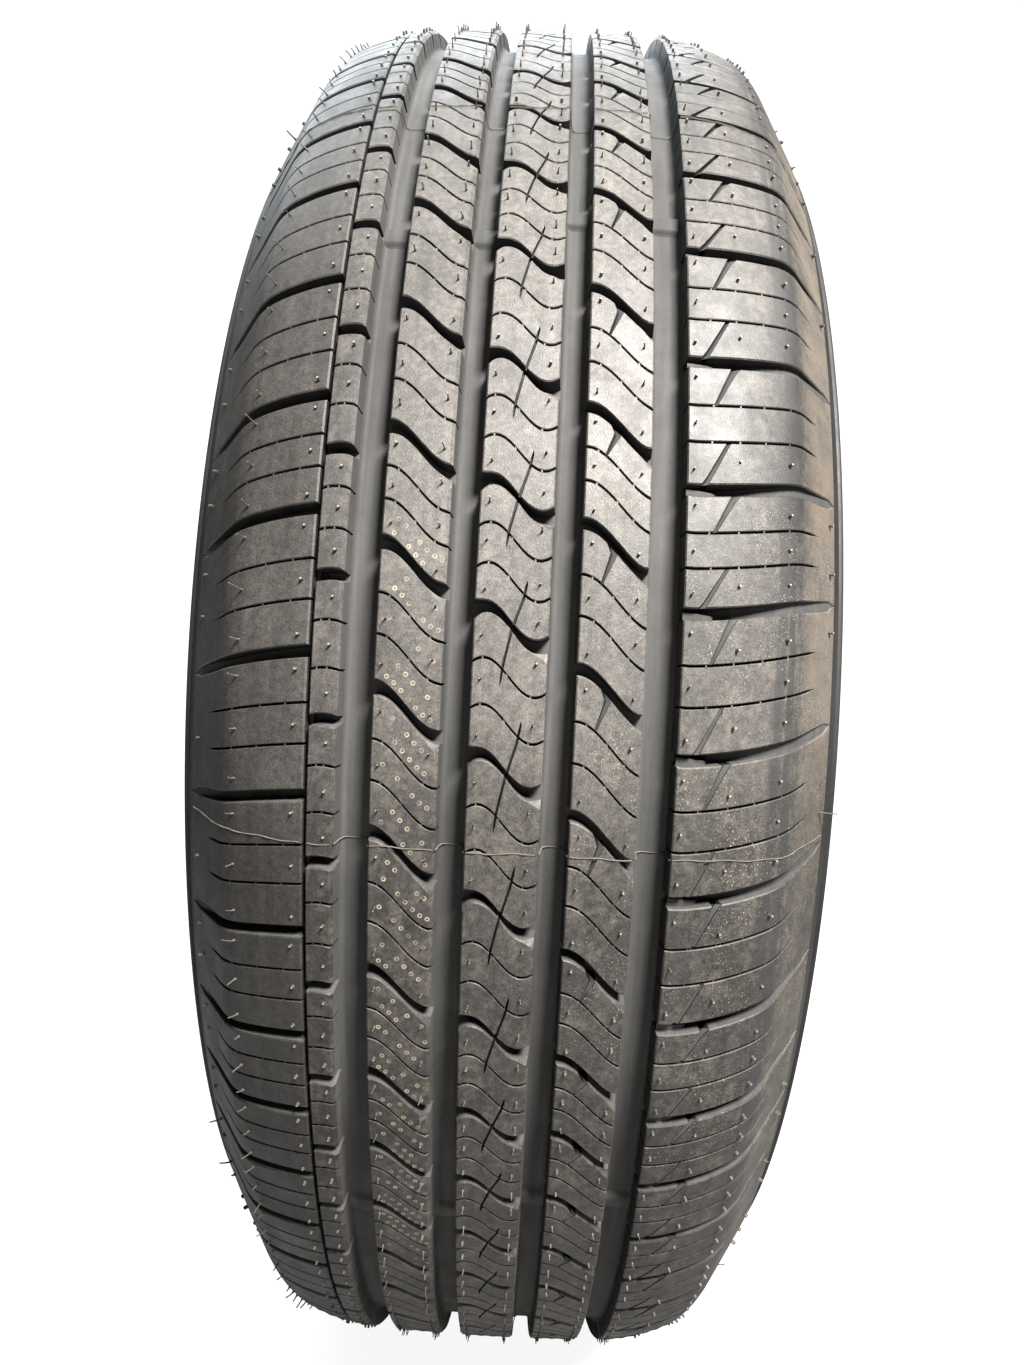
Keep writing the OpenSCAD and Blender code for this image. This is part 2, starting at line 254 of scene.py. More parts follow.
def block(surface, top, bottom, left, right, columns, rows, sides):
    """A tread block between two curves round the tyre and two lines across it."""
    u, v = np.meshgrid(np.linspace(0, 1, columns + 1), np.linspace(0, 1, rows + 1))
    across = left(v) + (right(v) - left(v)) * u
    high, low = top(across), bottom(across)
    angle = high + (low - high) * v
    width, height = right(v) - left(v), (high - low) * DEGREE

    edges = {}
    for name, mask, where in (("top", v == 0, across), ("right", u == 1, v),
                              ("bottom", v == 1, across), ("left", u == 0, v)):
        side = sides[name]
        share = along(side.open, where)
        depth = along(side.depth, where) * (share > BARELY_OPEN)
        edges[name] = Edge(mask, along(side.bevel, where) * share, side.lean, depth, share, side.slot)

    def inset(name, size):
        least_size = 0.5
        return edges[name].bevel / np.maximum(size, least_size)

    v_in = inset("top", height) + v * (1 - inset("top", height) - inset("bottom", height))
    u_in = inset("left", width) + u * (1 - inset("left", width) - inset("right", width))
    across_in = left(v_in) + (right(v_in) - left(v_in)) * u_in
    high_in, low_in = top(across_in), bottom(across_in)
    inner = place(across_in, high_in + (low_in - high_in) * v_in, 0)

    drop, depth = np.zeros_like(u), np.zeros_like(u)
    for edge in edges.values():
        drop = np.maximum(drop, edge.bevel * edge.mask)
        depth = np.maximum(depth, edge.depth * edge.mask)
    depth = np.maximum(depth, drop)
    out = {name: edge.mask * edge.lean * depth * (edge.open > BARELY_OPEN) for name, edge in edges.items()}
    ring = place(across, angle, -drop)
    foot = place(across + out["right"] - out["left"], angle + (out["top"] - out["bottom"]) / DEGREE, -depth)

    across_number = np.arange(columns + 1)
    down_number = np.arange(rows + 1)
    loop = np.concatenate([
        across_number[:-1],
        down_number[:-1] * (columns + 1) + columns,
        rows * (columns + 1) + across_number[:0:-1],
        down_number[:0:-1] * (columns + 1),
    ])
    total = (rows + 1) * (columns + 1)
    ring_number = total + np.arange(len(loop))
    foot_number = ring_number + len(loop)
    owner = np.repeat(np.arange(len(edges)), (columns, rows, columns, rows))
    shares = [edge.open.reshape(-1)[loop] for edge in edges.values()]
    share, next_share = np.choose(owner, shares), np.choose(owner, [np.roll(each, -1) for each in shares])
    is_open = np.maximum(share, next_share) > BARELY_OPEN
    wall_slots = np.array([edge.slot for edge in edges.values()])[owner][is_open]

    points = np.concatenate([inner.reshape(-1, 3), ring.reshape(-1, 3)[loop], foot.reshape(-1, 3)[loop]])
    faces = grid_faces(rows, columns)
    bevels = strip_faces(loop, ring_number)[is_open]
    walls = strip_faces(ring_number, foot_number)[is_open]
    slots = np.concatenate([np.full(len(faces) + len(bevels), FACE), wall_slots])
    surface.add(points, np.concatenate([faces, bevels, walls]), slots)


def patch(surface, top, bottom, left, right, rows, depths, slots):
    """A floor in two strips between four lines, sloping from its left depth to its right depth."""
    strip_edges = (0, 0.4, 1)
    u, v = np.meshgrid(strip_edges, np.linspace(0, 1, rows + 1))
    lift = -depths[0] - (depths[1] - depths[0]) * u
    across = left(v) + (right(v) - left(v)) * u
    high, low = top(across), bottom(across)
    surface.add(place(across, high + (low - high) * v, lift), grid_faces(rows, 2), np.tile(slots, rows))


def line(*knots):
    """A function through (place, value) pairs, straight between them."""
    places, values = zip(*knots)
    return lambda where: np.interp(where, places, values)


def at(value):
    return lambda where: np.full(np.shape(where), float(value))


# Rows of the tread. Each lags behind the right-hand rib by a fixed angle and a share of the pitch

Row = namedtuple("Row", "left right lag curve above below sipe sipe_shares")
SIPE = 0.35
SIPE_DEGREES = SIPE / DEGREE
SIPE_SHARES = (0.355, 0.64)


def side_rib_curve(start, reach, drop):
    def curve(across):
        share = np.clip((across - start) / reach, 0, 1)
        return -drop * (1 - np.cos(math.pi * share)) / 2
    return curve


def centre_curve(across):
    wave_drop, wave_length = 0.91, 28.6
    return -wave_drop * (1 + np.sin(2 * math.pi * across / wave_length))


def narrow_curve(across):
    middle = (OUTER_GROOVE_END + NARROW_RIB_END) / 2
    return 0.05 - 0.1 * np.square((across + middle) / 4)


def swept(start, slope, bend, hook=0):
    """The gentle sweep of a shoulder groove, with a flick at its inner end."""
    def curve(across):
        x = np.abs(across) - start
        return (slope * x + bend * x * x) / DEGREE - hook * np.exp(-np.maximum(x, 0) / 1.2)
    return curve


def taper(*knots):
    """Half a slit's width, in mm by distance from the centre line, as degrees."""
    places, values = zip(*knots)
    return lambda across: np.interp(np.abs(across), places, values) / DEGREE


LEFT_SHOULDER_GROOVE = taper((56, 1.75), (90, 1.75), (95, 1.5), (97, 0.1))
LEFT_SHOULDER = Row(
    -RUN_OUT, -LEFT_SHOULDER_START, (-0.3, 0), swept(LEFT_SHOULDER_START, -0.09, -0.0025),
    LEFT_SHOULDER_GROOVE, LEFT_SHOULDER_GROOVE, taper((56, SIPE), (86, SIPE), (89.4, 0)), SIPE_SHARES)
NARROW_SLOPE = 1.3
NARROW_RIB = Row(
    -NARROW_RIB_END, -OUTER_GROOVE_END, (0.45, 0.35), narrow_curve,
    at(0.185), at(0.185 + NARROW_SLOPE / DEGREE), at(SIPE_DEGREES), (0.33, 0.66))
LEFT_RIB = Row(
    -SIDE_RIB_OUTER, -SIDE_RIB_INNER, (2.1, -0.12), side_rib_curve(-SIDE_RIB_OUTER, 18.6, 2.28),
    line((-37.1, 0.36), (-33, 0.31), (-29, 0.28), (-22, 0.3), (-18.5, 0.32)),
    line((-37.1, 0.42), (-35.8, 0.38), (-33, 0.32), (-29, 0.28), (-22, 0.32), (-18.5, 0.4)),
    at(SIPE_DEGREES), SIPE_SHARES)
CENTRE_RIB = Row(
    -CENTRE_EDGE, CENTRE_EDGE, (2.45, 0.25), centre_curve,
    line((-10.3, 0.52), (-9, 0.36), (-7, 0.27), (0, 0.18), (5, 0.26), (10.3, 0.3)),
    line((-10.3, 0.45), (-8.6, 0.31), (-6, 0.27), (0, 0.18), (4, 0.3), (8, 0.36), (10.3, 0.5)),
    at(SIPE_DEGREES), (0.35, 0.665))
RIGHT_RIB = Row(
    SIDE_RIB_INNER, SIDE_RIB_OUTER, (0, 0), side_rib_curve(SIDE_RIB_INNER, 21.1, 2.6),
    line((18.5, 0.3), (26, 0.28), (34.8, 0.29), (37.1, 0.45)),
    line((18.5, 0.3), (26, 0.3), (33, 0.3), (37.1, 0.33)),
    at(SIPE_DEGREES), SIPE_SHARES)
RIGHT_SHOULDER = Row(
    OUTER_GROOVE_END, RUN_OUT, (3.4, 0.11), swept(OUTER_GROOVE_END, 0.05, 0.003, -0.06),
    taper((47, 1.65), (90, 1.65), (95, 1.4), (97, 0.1)), taper((47, 1.8), (90, 1.9), (95, 1.7), (97, 0.1)),
    taper((47, SIPE), (86, SIPE), (89.4, 0)), SIPE_SHARES)


def intervals(row):
    """The angle of each wide groove's centre line and of the next one below it."""
    starts = [a - row.lag[0] - row.lag[1] * PITCHES[i % len(PITCHES)] for i, a in enumerate(PITCH_ANGLES)]
    return list(zip(starts[:-1], starts[1:]))


def below_line(row, angle, half_width):
    """The lower edge of a groove or sipe at this angle, which is the top of a block."""
    return lambda across: row.curve(across) + angle - half_width(across)


def above_line(row, angle, half_width):
    return lambda across: row.curve(across) + angle + half_width(across)


def elements(row):
    """(number in its pitch, top curve, bottom curve) of every block of a row."""
    for start, end in intervals(row):
        first, second = (start + (end - start) * share for share in row.sipe_shares)
        tops = (below_line(row, start, row.below), below_line(row, first, row.sipe),
                below_line(row, second, row.sipe))
        bottoms = (above_line(row, first, row.sipe), above_line(row, second, row.sipe),
                   above_line(row, end, row.above))
        yield from zip(range(len(tops)), tops, bottoms)


# Sides of the blocks, whose walls end a little below the floors
EDGE, SHOULDER_EDGE, SLIT_EDGE, CHAMFER = 0.38, 0.5, 0.22, 1.0
GROOVE_WALL = GROOVE_DEPTH + 0.4
FINE_WALL = CROSS_DEPTH + 0.4
CROSS_WALL = CROSS_DEPTH + 0.2
GROOVE_SIDE = Side(EDGE, WALL_LEAN, GROOVE_WALL, 1, FLOOR)
# Walls that face left, away from the key light, take the dark wall material: painted shade
SHADED_GROOVE_SIDE = Side(EDGE, WALL_LEAN, GROOVE_WALL, 1, SHADED_WALL)
CHAMFER_SIDE = Side(CHAMFER, WALL_LEAN, GROOVE_WALL, 1, FLOOR)
FINE_SIDE = Side(EDGE, 0, FINE_WALL, 1)
SHOULDER_SIDE = Side(SHOULDER_EDGE, 0, FINE_WALL, 1)
CLOSED = Side(0, 0, 0, 0)
RIB_CORNER = 1.6
FIRST_BLOCK, LAST_BLOCK = 0, 2


def openness(half_width):
    """How far a groove or sipe of this half width is open, from 0 to 1; it may close towards the sidewall."""
    full_width = 0.3 / DEGREE
    return lambda across: np.clip(half_width(across) / full_width, 0, 1)


def wide_side(half_width, depth, bevel=EDGE, slot=SHADED_WALL):
    lean = 0.05
    return Side(bevel, lean, depth, openness(half_width), slot)


def sipe_side(half_width, depth):
    return Side(SLIT_EDGE, 0, depth, openness(half_width))


def cross_sides(row, number, depth, corner=0):
    """The top and bottom sides of a block; corner is the chamfer where a wide groove opens to the right."""
    chamfer_start, chamfer_end = row.right - 3.2, row.right - 0.3
    upper_bevel = line((chamfer_start, EDGE), (chamfer_end, EDGE + corner))
    # Sipe walls and the wall above a wide groove take the dark wall material, painted shade; the wall at a
    # block's top, below a wide groove, faces up to the key light and takes the floor's lighter colour,
    # painted light
    top = bottom = sipe_side(row.sipe, depth)
    if number == FIRST_BLOCK:
        top = wide_side(row.below, depth, upper_bevel, FLOOR)
    if number == LAST_BLOCK:
        bottom = wide_side(row.above, depth)
    return {"top": top, "bottom": bottom}


def shoulder_depth(across):
    """Depth of a shoulder groove's floor, which runs out on the buttress, sooner on the right."""
    left = np.interp(-across, [47, 74, 84, 90, 95, 97], [6, 6, 4.6, 2.1, 0.6, 0.25])
    right = np.interp(across, [56, 62, 70, 82, 90, 97], [6, 4.6, 3.2, 1.9, 1, 0.25])
    return np.where(across < 0, left, right)


def plain_row(row, left_side, right_side, columns=14, rows=5, corner=0, slope=0.3):
    """A row of whole blocks; slope is how far the wall below a wide groove comes out towards its foot."""
    surface = Surface()
    for number, top, bottom in elements(row):
        sides = {"left": left_side, "right": right_side, **cross_sides(row, number, CROSS_WALL, corner)}
        if number == FIRST_BLOCK:
            sides["top"] = sides["top"]._replace(lean=slope / CROSS_WALL)
        block(surface, top, bottom, at(row.left), at(row.right), columns, rows, sides)
    return surface


def narrow_rib():
    return plain_row(NARROW_RIB, FINE_SIDE, CHAMFER_SIDE, columns=8, rows=4, slope=NARROW_SLOPE)


def left_rib():
    return plain_row(LEFT_RIB, GROOVE_SIDE, CHAMFER_SIDE, corner=RIB_CORNER)


# A cut through a block: its two edges as lines across the tread, by place down the block, the depth of
# its floor at each of them, and the materials of the floor's two strips
# A notch's deeper left strip takes the dark wall material by default: painted shade in its crease
Cut = namedtuple("Cut", "left right depths slots", defaults=((SHADED_WALL, FLOOR),))
NOTCH_DEPTHS = (1.6, 0.5)
SLASH_DEPTHS = (1.5, 1.5)


def cut_block(surface, row, number, top, bottom, cut, ends, opened=1, columns=(7, 9), depth=CROSS_WALL,
              corner=0):
    """A block parted in two by a slanting cut; ends are the place and the side of its left and right end."""
    rows, below_floor = 7, 0.1
    (start, start_side), (end, end_side) = ends
    cross = cross_sides(row, number, depth, corner)
    edge = Side(SLIT_EDGE / 2, 0, max(cut.depths) + below_floor, opened)
    block(surface, top, bottom, at(start), cut.left, columns[0], rows,
          {"left": start_side, "right": edge, **cross})
    block(surface, top, bottom, cut.right, at(end), columns[1], rows,
          {"left": edge, "right": end_side, **cross})
    patch(surface, top, bottom, cut.left, cut.right, rows, cut.depths, cut.slots)


def right_rib():
    """The right-hand rib, with a tapered notch below each wide groove."""
    surface = Surface()
    # The inner wall faces left, away from the key light, and takes the dark wall material: painted shade
    ends = ((SIDE_RIB_INNER, SHADED_GROOVE_SIDE), (SIDE_RIB_OUTER, GROOVE_SIDE))
    notch = Cut(line((0, 25.2), (1 / 7, 26.3), (2 / 7, 26.0), (1, 24.0)), line((0, 28.3), (1, 24.5)),
                NOTCH_DEPTHS)
    columns, rows = 14, 5
    for number, top, bottom in elements(RIGHT_RIB):
        if number == FIRST_BLOCK:
            cut_block(surface, RIGHT_RIB, number, top, bottom, notch, ends, corner=RIB_CORNER)
        else:
            cross = cross_sides(RIGHT_RIB, number, CROSS_WALL)
            block(surface, top, bottom, at(SIDE_RIB_INNER), at(SIDE_RIB_OUTER), columns, rows,
                  {"left": SHADED_GROOVE_SIDE, "right": GROOVE_SIDE, **cross})
    return surface


def slash_edge(path, opened, offset):
    return lambda down: path(down) + offset * opened(down)


def centre_rib():
    """The centre rib, with a fine slash through each wide groove that ends beyond the next sipes."""
    half = 0.28
    paths = (
        (line((0, 0.1), (1, -2.0)), at(1)),
        (line((0, -2.0), (1 / 7, -2.2), (3 / 7, -2.5), (4 / 7, 3.9), (5 / 7, 3.8), (1, 3.2)),
         line((1 / 7, 1), (2 / 7, 0.6), (3 / 7, 0), (4 / 7, 0), (5 / 7, 0.8), (6 / 7, 1))),
        (line((0, 3.2), (1, 0.6)), at(1)),
    )
    surface = Surface()
    ends = ((-CENTRE_EDGE, GROOVE_SIDE), (CENTRE_EDGE, GROOVE_SIDE))
    for number, top, bottom in elements(CENTRE_RIB):
        path, opened = paths[number]
        left, right = slash_edge(path, opened, -half), slash_edge(path, opened, half)
        # A slash's floor takes the dark wall material in both strips: painted shadow
        slash = Cut(left, right, SLASH_DEPTHS, (SHADED_WALL, SHADED_WALL))
        cut_block(surface, CENTRE_RIB, number, top, bottom, slash, ends, opened, (9, 9), corner=RIB_CORNER)
    return surface


def shoulder_row(row, inner_side, cuts):
    """A shoulder in two zones: blocks with open grooves, then the stretch where the grooves close."""
    surface = Surface()
    open_columns, closing_columns, rows = 16, 12, 7
    side = -1 if row.left < 0 else 1
    start = row.right if side < 0 else row.left
    split, end = side * SHOULDER_SPLIT, side * RUN_OUT
    open_zone, closing_zone = sorted((start, split)), sorted((split, end))
    inner_name, outer_name = ("right", "left") if side < 0 else ("left", "right")
    open_sides = {inner_name: inner_side, outer_name: CLOSED}
    closing_sides = {"left": CLOSED, "right": CLOSED}
    for number, top, bottom in elements(row):
        cross = cross_sides(row, number, shoulder_depth)
        if number in cuts:
            cut_block(surface, row, number, top, bottom, cuts[number], ((start, inner_side), (split, CLOSED)),
                      columns=(6, 12), depth=shoulder_depth)
        else:
            block(surface, top, bottom, *map(at, open_zone), open_columns, rows, {**open_sides, **cross})
        block(surface, top, bottom, *map(at, closing_zone), closing_columns, rows, {**closing_sides, **cross})
    return surface


def left_shoulder():
    return shoulder_row(LEFT_SHOULDER, SHOULDER_SIDE, {})


def right_shoulder():
    """The right shoulder, with a notch in the blocks above and below each wide groove."""
    above = Cut(line((0, 58.2), (6 / 7, 52.3), (1, 51.0)), line((0, 59.4), (1, 53.0)), NOTCH_DEPTHS)
    below = Cut(line((0, 59.7), (1, 54.6)), line((0, 62.6), (1 / 7, 61.1), (1, 55.6)), NOTCH_DEPTHS)
    # The inner wall faces left, away from the key light, and takes the dark wall material: painted shade
    return shoulder_row(RIGHT_SHOULDER, SHADED_GROOVE_SIDE, {FIRST_BLOCK: below, LAST_BLOCK: above})


# Base of the tread and the carcass

def groove_floor(left, right, depth, fillet):
    """Section of a main groove, as (across, depth below the face) points, which passes under its walls."""
    under_wall = 0.1
    inwards = depth * WALL_LEAN - under_wall
    bend = [(fillet * (1 - math.cos(t)), fillet * (1 - math.sin(t))) for t in np.linspace(0, math.pi / 2, 6)]
    left_bend = [(left + inwards + x, depth - y) for x, y in bend]
    right_bend = [(right - inwards - x, depth - y) for x, y in reversed(bend)]
    return [(left, CROSS_DEPTH), *left_bend, *right_bend, (right, CROSS_DEPTH)]


def revolve(surface, points, segments):
    """Turns (across, radius) points round the tyre's axis."""
    turn = np.radians(np.arange(segments) * 360 / segments)
    across, radius = np.asarray(points).T[:, :, None]
    x, z = radius * np.cos(turn), radius * np.sin(turn)
    ring = np.stack([x, np.broadcast_to(across, x.shape), z], -1) * MM
    first = np.arange(len(points) - 1)[:, None] * segments + np.arange(segments)[None, :]
    beside = np.arange(len(points) - 1)[:, None] * segments + (np.arange(segments)[None, :] + 1) % segments
    faces = np.stack([first, beside, beside + segments, first + segments], -1).reshape(-1, 4)
    surface.add(ring, faces)


def tread_base():
    """The floors of all the grooves, which the blocks stand on."""
    fillet, points_across, step, under_wall = 1.6, 22, 0.05, 0.1
    section = [(w, shoulder_depth(w)) for w in np.linspace(-RUN_OUT, -LEFT_SHOULDER_START, points_across)]
    section += [(-LEFT_SHOULDER_START + step, FINE_GROOVE_DEPTH), (-NARROW_RIB_END - step, FINE_GROOVE_DEPTH)]
    section += [(-NARROW_RIB_END, CROSS_DEPTH)]
    for left, right in MAIN_GROOVES:
        section += groove_floor(left, right, GROOVE_DEPTH, fillet)
    right_start = OUTER_GROOVE_END + under_wall
    section += [(w, shoulder_depth(w)) for w in np.linspace(right_start, RUN_OUT, points_across)]
    across, depth = np.array(section).T
    points = place(across, 0, -depth) / MM
    surface = Surface()
    revolve(surface, points[:, [1, 0]], segments=720)
    return surface


BEAD_RUNS = (9.2, 36.5)


def sidewall_lift(run):
    """Relief of the sidewall along its face: two round beads, a rim guard and a stepped band."""
    upper_start = run_at(RUN_OUT)
    bead_radius, guard_height = 1.2, 2.5
    lift = np.zeros_like(run)
    for at_run in BEAD_RUNS:
        offset = np.abs(run - upper_start - at_run) / bead_radius
        lift = np.maximum(lift, bead_radius * np.sqrt(np.clip(1 - offset**2, 0, 1)))
    guard = WIDEST_RUN + np.array([9.5, 19.5, 24.5, 30])
    lift = np.maximum(lift, np.interp(run, guard, [0, guard_height, guard_height * 0.9, 0]))
    return lift


def carcass():
    """Sidewalls, beads and the inside, as one turned skin between the two ends of the tread."""
    surface = Surface()
    start = run_at(RUN_OUT)
    guard_end = WIDEST_RUN + 34
    across_bead = np.linspace(-1.3, 1.3, 9)
    beads = np.concatenate([start + at_run + across_bead for at_run in BEAD_RUNS])
    runs = np.unique(np.concatenate([np.linspace(start, guard_end, 44), beads, RUN[RUN > guard_end]]))
    outer = place_on_run(runs, 1, 0, sidewall_lift(runs))[:, [1, 0]] / MM
    half = np.concatenate([outer, inner_half()[:-1]])
    mirror = half[::-1] * [-1, 1]
    revolve(surface, np.concatenate([half, mirror])[::-1], segments=360)
    return surface


def tie_bars():
    """The steps left standing in the lower part of the right shoulder grooves' inner ends."""
    surface = Surface()
    length, depth, overlap = 9.4, 2.1, 0.02
    from_inner = np.array([0.1, 2, 4, 6, 7.5, 8.5, length, length + 0.7, length + 1.4])
    across = OUTER_GROOVE_END + from_inner
    top = -depth - (CROSS_DEPTH - depth) * np.array([0, 0, 0, 0, 0.04, 0.15, 0.45, 0.85, 1])
    upper_side = np.interp(from_inner, [0, 4, length], [0.9, 0.6, 0.1])
    lift = np.stack([top, top, (top - CROSS_DEPTH) / 2, np.full(len(across), -CROSS_DEPTH)])
    for angle, _ in intervals(RIGHT_SHOULDER):
        middle = angle + RIGHT_SHOULDER.curve(across)
        lower_edge = middle - RIGHT_SHOULDER.below(across) - overlap
        upper_edges = angle + np.stack([upper_side, upper_side + 0.5, upper_side + 0.7]) / DEGREE
        turn = np.concatenate([lower_edge[None], upper_edges])
        surface.add(place(across, turn, lift), grid_faces(3, len(across) - 1))
    return surface


def wear_bars():
    """Low bars across the main grooves."""
    surface = Surface()
    stagger = 0.85
    half_section = np.array([[4.4, -0.06], [3.9, 0.12], [3.3, 0.5], [2.8, 0.86], [2.2, 1]])
    offset = np.concatenate([half_section[:, 0], -half_section[::-1, 0]]) / DEGREE
    height = WEAR_BAR_HEIGHT * np.concatenate([half_section[:, 1], half_section[::-1, 1]])
    for angle in WEAR_BAR_ANGLES:
        for left, right in MAIN_GROOVES:
            turn = angle + math.copysign(stagger, left) + offset
            across = np.linspace(left + 0.3, right - 0.3, 5)
            points = place(across[None, :], turn[:, None], height[:, None] - GROOVE_DEPTH)
            surface.add(points, grid_faces(len(turn) - 1, len(across) - 1))
    return surface


# Marks of the mould

Vents = namedtuple("Vents", "row across shares length")
VENTS = (
    Vents(LEFT_SHOULDER, -58.8, (0.12, 0.5, 0.88), 1.3),
    Vents(LEFT_SHOULDER, -77.2, (0.12, 0.5, 0.86), 3.4),
    Vents(LEFT_SHOULDER, -94.5, (0.2, 0.55), 1.5),
    Vents(NARROW_RIB, -49.6, (0.17, 0.5, 0.83), 1.4),
    Vents(LEFT_RIB, -34.7, (0.15, 0.52, 0.83), 2.7),
    Vents(LEFT_RIB, -21.1, (0.13, 0.49, 0.86), 2.7),
    Vents(CENTRE_RIB, -7.8, (0.19, 0.49, 0.87), 2.4),
    Vents(CENTRE_RIB, 7.3, (0.12, 0.53, 0.83), 2.5),
    Vents(RIGHT_RIB, 21.1, (0.12, 0.5, 0.88), 2.0),
    Vents(RIGHT_RIB, 34.2, (0.2, 0.5, 0.87), 2.0),
    Vents(RIGHT_SHOULDER, 49.0, (0.13, 0.5, 0.85), 2.0),
    Vents(RIGHT_SHOULDER, 62.2, (0.26, 0.79), 1.4),
    Vents(RIGHT_SHOULDER, 77.3, (0.23, 0.52, 0.81), 1.4),
    Vents(RIGHT_SHOULDER, 95.3, (0.22, 0.7), 1.5),
)


def whisker(surface, across, angle, length):
    """A rubber hair left by a vent of the mould: a stub at its root, then a thin bent thread, with a pale cap
    on its tip that is a painted highlight.
    """
    sides, root, stub, thread, long_hair = 6, 0.5, 0.33, 0.2, 1.8
    straight, sunk = 0.9, 0.2
    lean = chance.uniform(-0.1, 0.25) * (-1 if across < 0 else 1)
    drift = chance.uniform(-0.3, 0.3) + 0.1 * cos_of(angle)
    if length > long_hair:
        heights = [0, 0.7, 1.1, max(1.3, length * 0.6), length]
        widths = [root * 0.9, root * 0.7, thread * 1.1, thread, thread * 0.9]
    else:
        heights = [0, length * 0.7, length]
        widths = [root, root * 0.9, stub]
    turn = np.arange(sides) * 2 * math.pi / sides
    rings = []
    for height, width in zip(heights, widths):
        bend = max(0, height - straight) ** 1.25
        rings.append(place(across + lean * bend + width * np.cos(turn),
                           angle + (drift * bend + width * np.sin(turn)) / DEGREE, height - sunk))
    points = np.concatenate(rings)
    if points[:, 2].min() < cad_low.z:
        return
    faces = np.concatenate([strip_faces(k * sides + np.arange(sides), (k + 1) * sides + np.arange(sides))
                            for k in range(len(rings) - 1)])
    surface.add(points, faces)
    # The cap on the tip takes the second material, a pale painted highlight
    surface.add(rings[-1], [np.arange(sides)], 1)


def vents():
    """The hairs of all the vents; of the outermost ones some are missing and some three times as long."""
    surface = Surface()
    outermost, missing, outer_missing, longer_share = 90, 0.04, 0.5, 0.06
    for vent in VENTS:
        for start, end in intervals(vent.row):
            for share in vent.shares:
                if chance.random() < (outer_missing if vent.across > outermost else missing):
                    continue
                across = vent.across + chance.uniform(-0.2, 0.2)
                angle = start + (end - start) * share + float(vent.row.curve(np.array(across)))
                longer = 3 if abs(across) > outermost and chance.random() < longer_share else 1
                whisker(surface, across, angle, vent.length * chance.uniform(0.6, 1.25) * longer)
    return surface


def flash_lines():
    """Thin fins where the mould's segments met."""
    surface = Surface()
    half, height, step, sunk = 0.2, 0.45, 0.6, 0.1
    feet_and_ridge = half / DEGREE * np.array([[1], [0], [-1]])
    rows = (LEFT_SHOULDER, NARROW_RIB, LEFT_RIB, CENTRE_RIB, RIGHT_RIB, RIGHT_SHOULDER)
    for angle in FLASH_ANGLES:
        def wander(across):
            return angle + 0.05 * np.sin(across / 7 + angle) + 0.03 * np.sin(across / 1.9)

        for row in rows:
            across = np.arange(row.left + 0.4, row.right - 0.4, step)
            rise = height * (0.75 + 0.25 * np.sin(across * 1.3 + angle))
            foot = np.full_like(across, -sunk)
            turn = wander(across) + feet_and_ridge
            surface.add(place(across, turn, np.stack([foot, rise, foot])), grid_faces(2, len(across) - 1))
        for left, right in MAIN_GROOVES:
            inwards = np.array([0, 0.5, 1.1, 2.3])
            foot_across = np.concatenate([left + inwards, right - inwards[::-1]])
            ridge_across = foot_across + np.array([0.4, 0.4, 0.35, 0.2, -0.2, -0.35, -0.4, -0.4])
            depth = np.array([0.3, 5, 7.1, 7.85, 7.85, 7.1, 5, 0.3])
            ridge_depth = depth - np.array([0.1, 0.1, 0.3, 0.4, 0.4, 0.3, 0.1, 0.1])
            turn = wander(foot_across) + feet_and_ridge
            points = place(np.stack([foot_across, ridge_across, foot_across]), turn,
                           -np.stack([depth, ridge_depth, depth]))
            surface.add(points, grid_faces(2, len(foot_across) - 1))
    return surface


def sipe_bridges():
    """Small ties across the sipes, just below the face."""
    surface = Surface()
    half_length, depth, overlap = 0.22, 0.25, 0.02
    lines = ((LEFT_SHOULDER, (-79, -70, -62)), (LEFT_RIB, (-34, -28, -22)), (CENTRE_RIB, (-7.5, -1, 6)),
             (RIGHT_RIB, (22, 27.5, 32.5)), (RIGHT_SHOULDER, (54, 62, 70, 78)), (NARROW_RIB, (-52.8, -50.2)))
    for row, places in lines:
        for start, end in intervals(row):
            for share in row.sipe_shares:
                for across in places:
                    across = across + chance.uniform(-0.5, 0.5) + np.array([-half_length, half_length])
                    middle = start + (end - start) * share + row.curve(across)
                    reach = row.sipe(across) + overlap
                    turn = np.stack([middle + reach, middle - reach])
                    surface.add(place(across, turn, -depth), grid_faces(1, 1))
    return surface


def printed_dots():
    """Rows of small pale rings stamped in paint on the left-hand rib, in a plain repeating pattern."""
    surface = Surface()
    outer, inner, sides, lift = 0.72, 0.34, 12, 0.03
    turn = np.arange(sides) * 2 * math.pi / sides
    top_angle, bottom_angle, first_dot, dots, spacing, faded = 9.4, -35, -33.6, 7, 2.1, 0.25
    row_shares = (0.14, 0.28, 0.5, 0.76, 0.9)
    for start, end in intervals(LEFT_RIB):
        for number, share in enumerate(row_shares):
            angle = start + (end - start) * share
            if not bottom_angle < (angle + 180) % 360 - 180 < top_angle:
                continue
            for k in range(dots):
                if chance.random() < faded:
                    continue
                across = first_dot + spacing / 2 * (number % 2) + k * spacing
                middle = angle + float(LEFT_RIB.curve(np.array(across)))
                rings = [place(across + r * np.cos(turn), middle + r * np.sin(turn) / DEGREE, lift)
                         for r in (outer, inner)]
                surface.add(np.concatenate(rings), strip_faces(np.arange(sides), sides + np.arange(sides)))
    return surface


# Materials

def math_node(tree, operation, first, second=None):
    made = tree.nodes.new("ShaderNodeMath")
    made.operation = operation
    for number, value in enumerate((first, second)):
        if value is None:
            continue
        if isinstance(value, (int, float)):
            made.inputs[number].default_value = value
        else:
            tree.links.new(value, made.inputs[number])
    return made.outputs[0]


